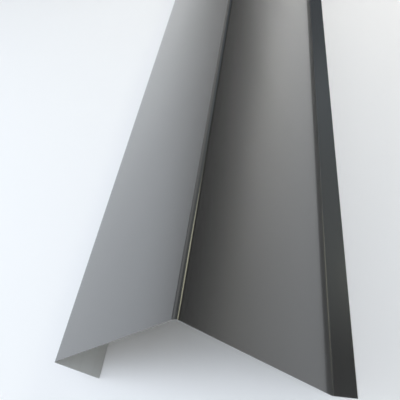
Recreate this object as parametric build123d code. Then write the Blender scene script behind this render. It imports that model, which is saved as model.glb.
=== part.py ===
from build123d import *
import os

# Wall flashing: one length of coated sheet steel, folded along its length.
# It lies as it would on a floor, ridge up, on the free edges of its lip and its drip.
# X runs across the section, Y along the length and Z up.
# The origin is on the floor, under the middle of the bounding box.

# Driving dimensions, in millimetres and degrees.
# Widths are taken on the coated face, between the sharp corners of the folds.
length = 2000.0
sheet = 0.5
short_leg = 125.0
long_leg = 138.0
lip = 36.0
drip = 16.5

# The ridge and the lip fold towards the back of the sheet, the drip towards its coated face.
ridge_angle = 90.0
lip_angle = 90.0
drip_turn = 44.0

# Radii on the inside of each bend.
ridge_bend = 2.5
lip_bend = 1.5
drip_bend = 1.5


def step(distance, heading):
    """A move across the section, with the heading in degrees above level."""
    return Vector(distance, 0).rotate(Axis.Z, heading)


def coated_line():
    """The coated face in section, from the tip of the lip over the ridge to the tip of the drip."""
    fall = 90 - ridge_angle / 2
    ridge = Vector(0, 0)
    lip_fold = ridge + step(short_leg, 180 + fall)
    lip_tip = lip_fold + step(lip, fall - lip_angle)
    drip_fold = ridge + step(long_leg, -fall)
    drip_tip = drip_fold + step(drip, drip_turn - fall)
    # The coated face is outside the ridge and lip bends, and inside the drip bend.
    radii = [lip_bend + sheet, ridge_bend + sheet, drip_bend]
    return FilletPolyline(lip_tip, lip_fold, ridge, drip_fold, drip_tip, radius=radii)


def folded_section():
    """The sheet in section: the coated face, thickened towards the back."""
    return make_face(offset(coated_line(), sheet, side=Side.RIGHT))


def laid_on_floor(section):
    """The section turned until both tips touch the floor, and centred over the origin."""
    face = coated_line()
    lip_foot = face @ 0
    drip_foot = face @ 1 + (face % 1).rotate(Axis.Z, -90) * sheet
    turn = (drip_foot - lip_foot).get_signed_angle(Vector(1, 0), Vector(0, 0, 1))
    turned = Rot(0, 0, turn) * section
    box = turned.bounding_box()
    return Pos(-box.center().X, -box.min.Y) * turned


def flashing():
    """The folded sheet at its full length."""
    section = Plane.XZ * laid_on_floor(folded_section())
    return extrude(section, amount=length / 2, both=True)


os.makedirs("parts", exist_ok=True)
export_step(flashing(), "parts/flashing.step")
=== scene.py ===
import math

import bpy
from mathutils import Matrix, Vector


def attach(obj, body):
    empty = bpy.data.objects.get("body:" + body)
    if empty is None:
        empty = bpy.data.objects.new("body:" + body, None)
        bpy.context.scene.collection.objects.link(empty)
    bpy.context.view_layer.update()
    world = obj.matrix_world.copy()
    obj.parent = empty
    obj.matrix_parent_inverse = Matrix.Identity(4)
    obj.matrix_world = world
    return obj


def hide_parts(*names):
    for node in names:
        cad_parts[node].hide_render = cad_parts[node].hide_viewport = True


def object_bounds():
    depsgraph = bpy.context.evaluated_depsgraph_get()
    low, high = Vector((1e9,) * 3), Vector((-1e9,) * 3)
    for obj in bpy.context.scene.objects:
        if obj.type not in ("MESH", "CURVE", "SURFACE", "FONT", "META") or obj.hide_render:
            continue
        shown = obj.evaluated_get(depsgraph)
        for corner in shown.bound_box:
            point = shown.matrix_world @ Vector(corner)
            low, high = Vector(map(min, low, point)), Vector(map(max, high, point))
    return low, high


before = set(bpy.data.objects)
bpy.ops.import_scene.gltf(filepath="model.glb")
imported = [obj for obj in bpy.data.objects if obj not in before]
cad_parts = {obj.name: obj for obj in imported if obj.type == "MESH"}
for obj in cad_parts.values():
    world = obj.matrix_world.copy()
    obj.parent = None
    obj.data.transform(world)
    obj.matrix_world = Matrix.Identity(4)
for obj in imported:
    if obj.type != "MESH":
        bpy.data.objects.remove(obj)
cad_low, cad_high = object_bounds()

# Sizes of the folded sheet, in metres and degrees.
# Widths are taken on the coated face, between the sharp corners of the folds.
SHEET = 0.0005
SHORT_LEG = 0.125
LONG_LEG = 0.138
LIP = 0.036
DRIP = 0.0165
RIDGE_ANGLE = 90
LIP_ANGLE = 90
DRIP_TURN = 44
RIDGE_BEND = 0.0025
LIP_BEND = 0.0015
DRIP_BEND = 0.0015

# The flats in order across the section, and the materials in their order on the mesh.
LIP_FLAT, SHORT_FLAT, LONG_FLAT, DRIP_FLAT = range(4)
COATED, BACK, CUT = range(3)

# How finely the mesh follows the section and the length.
BEND_STEPS = 14
FLAT_STEP = 0.006
GUARD = 0.0004
RING_STEP = 0.010

# The flats of a thin folded sheet are never quite flat: long shallow waves between the folds.
# A slow wave and a quick one run along each leg, out of step from leg to leg, and the quick one leans.
WAVE_HEIGHT = 0.00022
SLOW_WAVE = 0.61
SLOW_SHARE = 0.7
QUICK_WAVE = 0.233
QUICK_SHARE = 0.3
LEG_PHASE = 1.7
QUICK_PHASE = 2.1
QUICK_LEAN = 2.5

# How strongly the coat mirrors, and how smooth its clear top is.
COAT_IOR = 1.72
COAT_ROUGHNESS = 0.15

# Beside the drip's fold the long leg has a strip that is lighter, rougher and has less clear top. Its
# lighter colour is
# painted reflection: it stands in for the soft light band that the leg shows beside the fold. The strip's
# middle line lies this far up the leg from the fold, and the strip is full within one distance of that line
# and gone past another.
FOLD_STRIP_LINE = 0.0025
FOLD_STRIP_FULL = 0.002
FOLD_STRIP_GONE = 0.0045

# The strip's colour is painted reflection, lighter than the paint. The strip adds to the coat's roughness
# and leaves this share of its clear top showing.
FOLD_STRIP_REFLECTION_COLOUR = (0.074, 0.078, 0.083)
FOLD_STRIP_ROUGHNESS = 0.3
FOLD_STRIP_COAT = 0.3

# The floor: how far it reaches to each side, its colour, its roughness and its faint shine.
FLOOR_REACH = 30.0
FLOOR_WHITE = (0.93, 0.93, 0.93)
FLOOR_ROUGHNESS = 0.9
FLOOR_SHINE = 0.1

# Each lamp has a name, a place, the point that it faces, a width and height, a power in watts, a colour
# and the angle that it spreads over. The first three light the floor that the short leg mirrors, the
# next two the floor that the long leg mirrors, and the last shows in the ridge.
LAMPS = (
    ("near_left", (-0.65, -1.2, 1.0), (-0.35, -0.85, 0), (0.9, 0.9), 8.3, (0.88, 0.98, 1.12), 180),
    ("far_left", (-2.0, -1.2, 1.6), (-0.5, -0.5, 0), (1.0, 0.8), 9.1, (0.97, 1.0, 1.03), 180),
    ("low_left", (-4.5, -0.9, 1.7), (0.2, -0.6, 0), (1.5, 1.2), 6.6, (0.92, 1.0, 1.07), 70),
    ("near_right", (0.35, -0.35, 2.2), (0.30, -0.25, 0), (0.5, 0.5), 0.65, (1.05, 1.0, 0.95), 40),
    ("far_right", (0.75, -0.1, 2.6), (0.7, 0.1, 0), (0.5, 0.5), 0.75, (1.0, 1.0, 1.0), 45),
    ("warm_lamp", (1.3, 0.12, 1.45), (0, -0.95, 0.1), (0.7, 0.7), 3.2, (1.08, 1.05, 0.76), 180),
)

# The room: a dim tone all round, and soft glows.
# Each glow has a direction, how near to it the glow starts and is full, and a colour.
ROOM_DIM = (0.065, 0.065, 0.063)
ROOM_GLOWS = (
    ((0, -0.55, 0.83), 0.55, 0.9, (0.50, 0.49, 0.485)),
    ((0.9, -0.44, 0.1), 0.7, 0.95, (0.175, 0.15, 0.13)),
    ((-1, 0.1, 0.1), 0.2, 0.9, (0.10, 0.10, 0.10)),
    ((-0.47, 0.66, 0.58), 0.82, 0.97, (0.31, 0.31, 0.29)),
    ((0.28, 0.66, 0.70), 0.93, 0.99, (0.21, 0.235, 0.24)),
    ((0.18, 0.88, 0.44), 0.94, 0.99, (0.035, 0.05, 0.07)),
)

# The camera: its lens and shift, its place in metres and its turn in degrees.
SENSOR_WIDTH = 36
LENS = 40.0
LENS_SHIFT = -0.048
NEAREST = 0.01
CAMERA_PLACE = (0.0437, -1.0925, 0.3144)
CAMERA_TURN = (39.78, 4.73, 5.75)


# The section of the sheet

def move(distance, heading):
    """A move across the section, with the heading in degrees above level."""
    angle = math.radians(heading)
    return Vector((distance * math.cos(angle), distance * math.sin(angle)))


def turned(v, angle):
    """The vector turned by an angle in radians, anticlockwise."""
    c, s = math.cos(angle), math.sin(angle)
    return Vector((c * v.x - s * v.y, s * v.x + c * v.y))


def corners():
    """Sharp corners of the coated face, from the tip of the lip over the ridge to the tip of the drip."""
    fall = 90 - RIDGE_ANGLE / 2
    ridge = Vector((0, 0))
    lip_fold = ridge + move(SHORT_LEG, 180 + fall)
    lip_tip = lip_fold + move(LIP, fall - LIP_ANGLE)
    drip_fold = ridge + move(LONG_LEG, -fall)
    drip_tip = drip_fold + move(DRIP, DRIP_TURN - fall)
    return [lip_tip, lip_fold, ridge, drip_fold, drip_tip]


def flat_points(start, end):
    """Points along a flat and their shares of it, evenly spaced.
    One more lies close to each end, to keep the shading of the flat clean."""
    run = end - start
    count = max(2, round(run.length / FLAT_STEP))
    guard = GUARD / run.length
    shares = [0, guard] + [i / count for i in range(1, count)] + [1 - guard, 1]
    return [start + run * s for s in shares], shares


def section():
    """The section as rows of (coated point, direction to the back, share along its flat, flat).
    A row on a bend has no share and no flat."""
    points = corners()
    radii = [None, LIP_BEND + SHEET, RIDGE_BEND + SHEET, DRIP_BEND, None]
    rows = []
    start = points[0]
    for i in range(1, len(points)):
        along = (points[i] - points[i - 1]).normalized()
        back = turned(along, -math.pi / 2)
        if radii[i] is None:
            end = points[i]
        else:
            onward = (points[i + 1] - points[i]).normalized()
            bend = along.angle_signed(onward)
            end = points[i] - along * radii[i] * math.tan(abs(bend) / 2)
        flat, shares = flat_points(start, end)
        rows += [(p, back, s, i - 1) for p, s in zip(flat, shares)]
        if radii[i] is not None:
            # A bend towards the back is clockwise, and its signed angle is positive.
            side = back if bend > 0 else -back
            centre = end + side * radii[i]
            for k in range(1, BEND_STEPS):
                angle = -bend * k / BEND_STEPS
                rows.append((centre + turned(-side, angle) * radii[i], turned(back, angle), None, None))
            start = centre + turned(-side, -bend) * radii[i]
    return rows


def laid_on_floor(rows):
    """The section turned until the tips of the lip and the drip touch the floor.
    It is then set in the frame's box."""
    lip_foot = rows[0][0]
    drip_foot = rows[-1][0] + rows[-1][1] * SHEET
    slope = math.atan2(drip_foot.y - lip_foot.y, drip_foot.x - lip_foot.x)
    laid = [(turned(p, -slope), turned(b, -slope), s, f) for p, b, s, f in rows]
    faces = [p for p, b, s, f in laid] + [p + b * SHEET for p, b, s, f in laid]
    middle = (min(p.x for p in faces) + max(p.x for p in faces)) / 2
    shift = Vector(((cad_low.x + cad_high.x) / 2 - middle, cad_low.z - min(p.y for p in faces)))
    return [(p + shift, b, s, f) for p, b, s, f in laid]


# The sheet as a mesh

def wave(share, flat, y):
    """How far a leg stands off its plane, zero at its folds.
    The lip, the drip and the bends have no waves."""
    if flat not in (SHORT_FLAT, LONG_FLAT):
        return 0.0
    arch = math.sin(math.pi * share) ** 2
    phase = LEG_PHASE * flat
    slow = math.sin(2 * math.pi * y / SLOW_WAVE + phase)
    quick = math.sin(2 * math.pi * y / QUICK_WAVE + QUICK_PHASE * phase + QUICK_LEAN * share)
    return WAVE_HEIGHT * arch * (SLOW_SHARE * slow + QUICK_SHARE * quick)


def sheet_mesh(name, rows):
    """The folded sheet from end to end.
    The coated face, the back and the cut edges are three materials."""
    length = cad_high.y - cad_low.y
    rings = round(length / RING_STEP)
    verts, faces, kinds = [], [], []
    for j in range(rings + 1):
        y = cad_low.y + length * j / rings
        for p, back, share, flat in rows:
            out = wave(share, flat, y)
            verts.append((p.x - back.x * out, y, p.y - back.y * out))
            verts.append((p.x + back.x * (SHEET - out), y, p.y + back.y * (SHEET - out)))

    def add(kind, *corners_of_face):
        faces.append(corners_of_face)
        kinds.append(kind)

    def vertex(ring, row, on_back):
        return (ring * len(rows) + row) * 2 + on_back

    last_row, last_ring = len(rows) - 1, rings
    for j in range(rings):
        for i in range(last_row):
            add(COATED, vertex(j, i, 0), vertex(j, i + 1, 0), vertex(j + 1, i + 1, 0), vertex(j + 1, i, 0))
            add(BACK, vertex(j, i, 1), vertex(j + 1, i, 1), vertex(j + 1, i + 1, 1), vertex(j, i + 1, 1))
        add(CUT, vertex(j, 0, 0), vertex(j + 1, 0, 0), vertex(j + 1, 0, 1), vertex(j, 0, 1))
        add(CUT, vertex(j, last_row, 0), vertex(j, last_row, 1),
            vertex(j + 1, last_row, 1), vertex(j + 1, last_row, 0))
    for i in range(last_row):
        add(CUT, vertex(0, i, 0), vertex(0, i, 1), vertex(0, i + 1, 1), vertex(0, i + 1, 0))
        add(CUT, vertex(last_ring, i, 0), vertex(last_ring, i + 1, 0),
            vertex(last_ring, i + 1, 1), vertex(last_ring, i, 1))

    mesh = bpy.data.meshes.new(name)
    mesh.from_pydata(verts, [], faces)
    mesh.polygons.foreach_set("material_index", kinds)
    mesh.polygons.foreach_set("use_smooth", [kind != CUT for kind in kinds])
    mesh.update()
    mesh.validate()
    mark_cut_edges_sharp(mesh)
    return mesh


def mark_cut_edges_sharp(mesh):
    """The line between the coated face or the back and a cut edge stays crisp."""
    kinds_at = {}
    for polygon in mesh.polygons:
        for key in polygon.edge_keys:
            kinds_at.setdefault(key, set()).add(polygon.material_index)
    for edge in mesh.edges:
        edge.use_edge_sharp = len(kinds_at[edge.key]) > 1


# Materials

class Nodes:
    """A small helper for building the node tree of a material or of the world."""

    def __init__(self, owner):
        owner.use_nodes = True
        self.owner = owner
        self.tree = owner.node_tree

    def add(self, kind, values=None, **settings):
        """A node with its settings, and with values for sockets given by name or number."""
        node = self.tree.nodes.new(kind)
        for key, value in settings.items():
            setattr(node, key, value)
        for key, value in (values or {}).items():
            node.inputs[key].default_value = value
        return node

    def link(self, source, target):
        self.tree.links.new(source, target)

    def placed(self, **mapping):
        """Object coordinates, moved and stretched along each axis."""
        place = self.add("ShaderNodeTexCoord")
        moved = self.add("ShaderNodeMapping", mapping)
        self.link(place.outputs["Object"], moved.inputs["Vector"])
        return moved.outputs["Vector"]

    def noise(self, vector, scale, detail=3.0, roughness=0.5):
        node = self.add("ShaderNodeTexNoise", {"Scale": scale, "Detail": detail, "Roughness": roughness})
        self.link(vector, node.inputs["Vector"])
        return node.outputs["Fac"]

    def ranged(self, value, low, high, to_low, to_high):
        """A value carried from one range to another, and kept within it."""
        node = self.add("ShaderNodeMapRange", {
            "From Min": low, "From Max": high, "To Min": to_low, "To Max": to_high})
        self.link(value, node.inputs["Value"])
        return node.outputs["Result"]

    def raised(self, value, share, amount):
        """A value raised by a share of an amount."""
        node = self.add("ShaderNodeMath", {1: amount}, operation="MULTIPLY_ADD")
        self.link(share, node.inputs[0])
        self.link(value, node.inputs[2])
        return node.outputs["Value"]

    def near_line(self, x, z, full, gone):
        """One close to a line along the length, fading to nothing away from it."""
        away = self.add("ShaderNodeVectorMath", operation="LENGTH")
        self.link(self.placed(Location=(-x, 0, -z), Scale=(1, 0, 1)), away.inputs[0])
        return self.ranged(away.outputs["Value"], full, gone, 1, 0)

    def mixed(self, factor, first, second):
        """A blend of two colours, each a constant or another node's output."""
        node = self.add("ShaderNodeMix", data_type="RGBA")
        a, b = [s for s in node.inputs if s.type == "RGBA"]
        for socket, colour in ((a, first), (b, second)):
            if isinstance(colour, tuple):
                socket.default_value = (*colour, 1)
            else:
                self.link(colour, socket)
        self.link(factor, node.inputs[0])
        return [s for s in node.outputs if s.type == "RGBA"][0]

    def bump(self, height, strength, distance, after=None):
        node = self.add("ShaderNodeBump", {"Strength": strength, "Distance": distance})
        self.link(height, node.inputs["Height"])
        if after is not None:
            self.link(after, node.inputs["Normal"])
        return node.outputs["Normal"]

    def set(self, **values):
        """Gives the material's shader a constant, a colour or another node's output on each socket named."""
        shader = self.tree.nodes["Principled BSDF"]
        for key, value in values.items():
            socket = shader.inputs[key.replace("_", " ")]
            if isinstance(value, bpy.types.NodeSocket):
                self.link(value, socket)
            elif isinstance(value, tuple):
                socket.default_value = (*value, 1)
            else:
                socket.default_value = value


def fold_strip_middle(rows):
    """Where the middle of the strip of painted reflection lies in section, on the long leg beside the drip's
    fold.
    """
    leg = [p for p, back, share, flat in rows if flat == LONG_FLAT]
    return leg[-1] + (leg[0] - leg[-1]).normalized() * FOLD_STRIP_LINE


def colour_coat(rows):
    """Satin anthracite paint: fine pigment grain, faint streaks along the strip and a light orange peel.
    Beside the drip's fold it has a lighter strip of painted reflection, which is also rougher and has less
    clear top."""
    paint = (0.028, 0.029, 0.030)
    faded_paint = (0.032, 0.033, 0.034)
    pigment = (0.050, 0.052, 0.053)
    n = Nodes(bpy.data.materials.new("colour_coat"))
    even = n.placed(Scale=(1, 1, 1))
    along = n.placed(Scale=(1, 0.06, 1))
    cloud = n.noise(even, 9, 3)
    grain = n.noise(even, 2600, 2)
    streak = n.noise(along, 160, 4, 0.6)
    base = n.mixed(n.ranged(cloud, 0.35, 0.65, 0, 1), paint, faded_paint)
    base = n.mixed(n.ranged(grain, 0.35, 0.75, 0, 0.2), base, pigment)
    line = fold_strip_middle(rows)
    fold_strip = n.near_line(line.x, line.y, FOLD_STRIP_FULL, FOLD_STRIP_GONE)
    # The lighter colour mixed in beside the drip's fold is painted reflection, standing in for the soft
    # light band there.
    base = n.mixed(fold_strip, base, FOLD_STRIP_REFLECTION_COLOUR)
    roughness = n.raised(n.ranged(streak, 0.3, 0.7, 0.19, 0.21), fold_strip, FOLD_STRIP_ROUGHNESS)
    coat = n.ranged(fold_strip, 0, 1, 1, FOLD_STRIP_COAT)
    peel = n.bump(n.noise(even, 420, 2), 0.10, 0.0002)
    peel = n.bump(grain, 0.06, 0.00005, after=peel)
    n.set(Base_Color=base, Roughness=roughness, Normal=peel)
    n.set(IOR=COAT_IOR, Coat_Weight=coat, Coat_Roughness=COAT_ROUGHNESS, Coat_IOR=COAT_IOR)
    return n.owner


def back_coat():
    """Thin light grey primer on the underside, flatter and a little uneven."""
    primer = (0.64, 0.655, 0.64)
    light_primer = (0.70, 0.715, 0.70)
    thin_primer = (0.56, 0.57, 0.56)
    n = Nodes(bpy.data.materials.new("back_coat"))
    even = n.placed(Scale=(1, 1, 1))
    along = n.placed(Scale=(1, 0.05, 1))
    cloud = n.noise(even, 14, 4)
    streak = n.noise(along, 220, 4, 0.6)
    base = n.mixed(n.ranged(cloud, 0.3, 0.7, 0, 1), primer, light_primer)
    base = n.mixed(n.ranged(streak, 0.45, 0.8, 0, 0.4), base, thin_primer)
    roughness = n.ranged(streak, 0.3, 0.7, 0.48, 0.6)
    n.set(Base_Color=base, Roughness=roughness, Normal=n.bump(n.noise(even, 700, 2), 0.12, 0.0002))
    return n.owner


def cut_edge():
    """Sheared steel with a thin zinc skin, dull and finely torn across its thickness."""
    dark_steel = (0.20, 0.20, 0.20)
    light_steel = (0.36, 0.36, 0.35)
    n = Nodes(bpy.data.materials.new("cut_edge"))
    tear = n.noise(n.placed(Scale=(1, 1, 1)), 3500, 3)
    base = n.mixed(n.ranged(tear, 0.35, 0.65, 0, 1), dark_steel, light_steel)
    n.set(Base_Color=base, Metallic=1.0, Roughness=0.5, Normal=n.bump(tear, 0.3, 0.0001))
    return n.owner


def build():
    """The sheet, riding on the part's only body in place of the plain one."""
    rows = laid_on_floor(section())
    sheet = bpy.data.objects.new("folded_sheet", sheet_mesh("folded_sheet", rows))
    bpy.context.collection.objects.link(sheet)
    for material in (colour_coat(rows), back_coat(), cut_edge()):
        sheet.data.materials.append(material)
    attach(sheet, "root")
    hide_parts("flashing")


# The stage: floor, lamps, surroundings and camera

def floor():
    """A wide white floor that keeps the sheet's shadow."""
    mesh = bpy.data.meshes.new("floor")
    sides = ((-1, -1), (1, -1), (1, 1), (-1, 1))
    mesh.from_pydata([(x * FLOOR_REACH, y * FLOOR_REACH, cad_low.z) for x, y in sides], [], [(0, 1, 2, 3)])
    obj = bpy.data.objects.new("floor", mesh)
    bpy.context.collection.objects.link(obj)
    n = Nodes(bpy.data.materials.new("floor_paper"))
    n.set(Base_Color=FLOOR_WHITE, Roughness=FLOOR_ROUGHNESS, Specular_IOR_Level=FLOOR_SHINE)
    mesh.materials.append(n.owner)


def area_light(name, place, aim, size, watts, colour, spread):
    """A rectangular lamp that faces a point."""
    data = bpy.data.lights.new(name, "AREA")
    data.spread = math.radians(spread)
    data.shape = "RECTANGLE"
    data.size, data.size_y = size
    data.energy = watts
    data.color = colour
    obj = bpy.data.objects.new(name, data)
    obj.location = place
    obj.rotation_euler = (Vector(aim) - Vector(place)).to_track_quat("-Z", "Y").to_euler()
    bpy.context.collection.objects.link(obj)


def glow(n, place, direction, start, full, colour):
    """A colour that grows softly from nothing to full as a ray nears a direction."""
    toward = n.add("ShaderNodeVectorMath", {1: Vector(direction).normalized()}, operation="DOT_PRODUCT")
    n.link(place, toward.inputs[0])
    shade = n.add("ShaderNodeMapRange", {"From Min": start, "From Max": full},
                  interpolation_type="SMOOTHSTEP")
    n.link(toward.outputs["Value"], shade.inputs["Value"])
    tint = n.add("ShaderNodeVectorMath", {0: colour}, operation="SCALE")
    n.link(shade.outputs["Result"], tint.inputs["Scale"])
    return tint.outputs[0]


def surroundings():
    """A dim room with its glows, brightest above and behind the camera."""
    world = bpy.data.worlds.new("surroundings")
    bpy.context.scene.world = world
    n = Nodes(world)
    place = n.add("ShaderNodeTexCoord").outputs["Generated"]
    total = None
    for source in ROOM_GLOWS:
        more = n.add("ShaderNodeVectorMath", operation="ADD")
        if total is None:
            more.inputs[0].default_value = ROOM_DIM
        else:
            n.link(total, more.inputs[0])
        n.link(glow(n, place, *source), more.inputs[1])
        total = more.outputs[0]
    n.link(total, n.tree.nodes["Background"].inputs["Color"])


def camera():
    """The photograph's view: close to the near end, looking down along the ridge."""
    data = bpy.data.cameras.new("camera")
    data.sensor_width = SENSOR_WIDTH
    data.lens = LENS
    data.shift_x = LENS_SHIFT
    data.clip_start = NEAREST
    obj = bpy.data.objects.new("camera", data)
    obj.location = CAMERA_PLACE
    obj.rotation_euler = [math.radians(angle) for angle in CAMERA_TURN]
    bpy.context.collection.objects.link(obj)
    bpy.context.scene.camera = obj


build()
floor()
for lamp in LAMPS:
    area_light(*lamp)
surroundings()
camera()
bpy.context.scene.view_settings.view_transform = "Standard"
